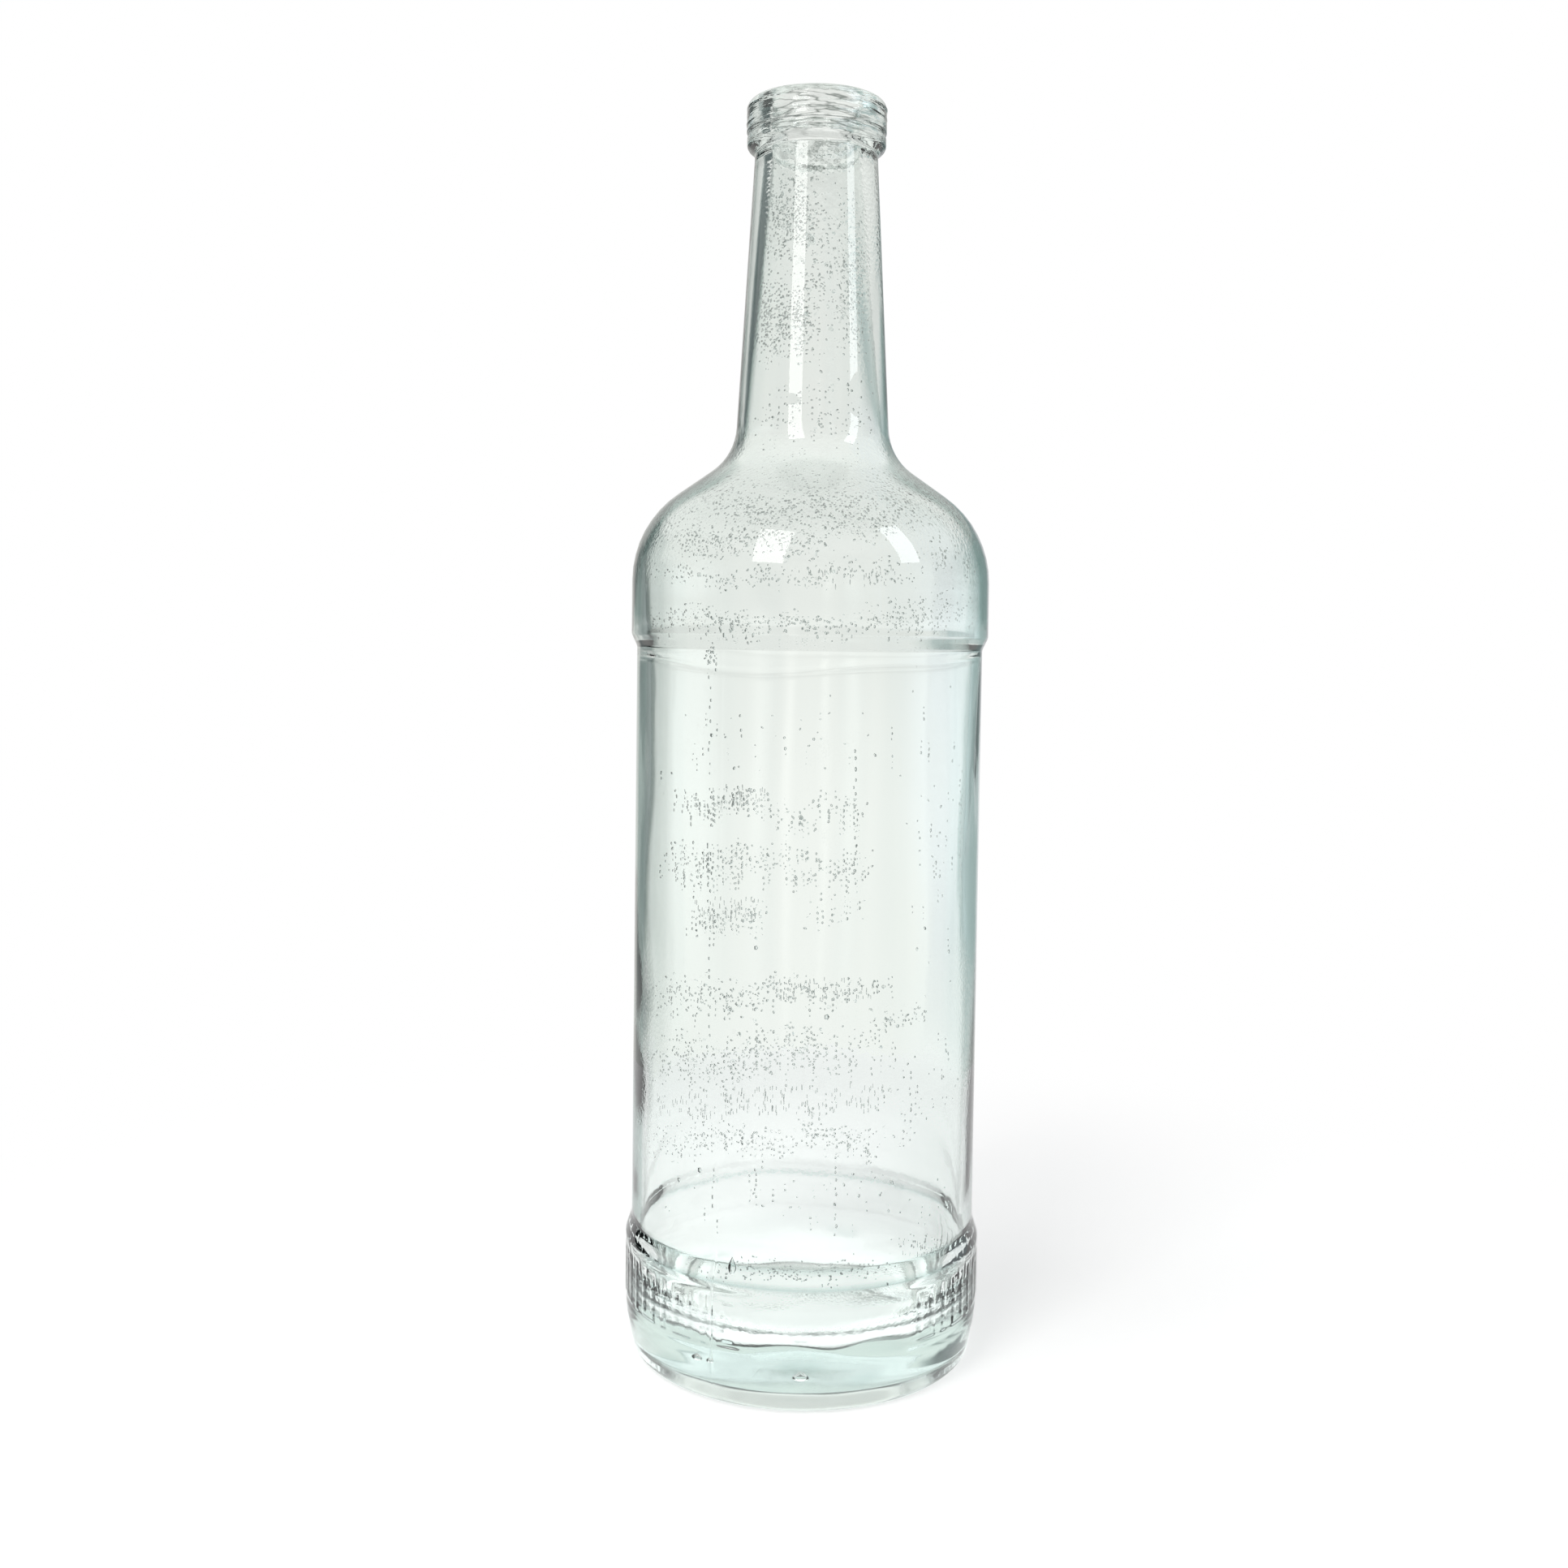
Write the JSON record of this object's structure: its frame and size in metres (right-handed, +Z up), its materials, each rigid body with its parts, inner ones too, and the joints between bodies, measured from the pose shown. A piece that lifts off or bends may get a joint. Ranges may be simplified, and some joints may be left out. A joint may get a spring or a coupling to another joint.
{
  "type": "glass bottle",
  "caption": "Tall clear glass bottle with a recessed label panel, round shoulder, long tapered neck and a rounded lip over a carrying bead; stands upright and holds drinks.",
  "frame": {"origin": "centre of the ring that the bottle stands on, at the surface", "axes": "+Z up along the bottle's axis, towards the mouth; +X and +Y are free, because the bottle is round"},
  "size_m": [0.0882, 0.0882, 0.3085],
  "materials": {
    "clear_glass": "polished, faintly green"
  },
  "bodies": {
    "root": {"glass_bottle": "clear_glass"}
  },
  "joints": []
}
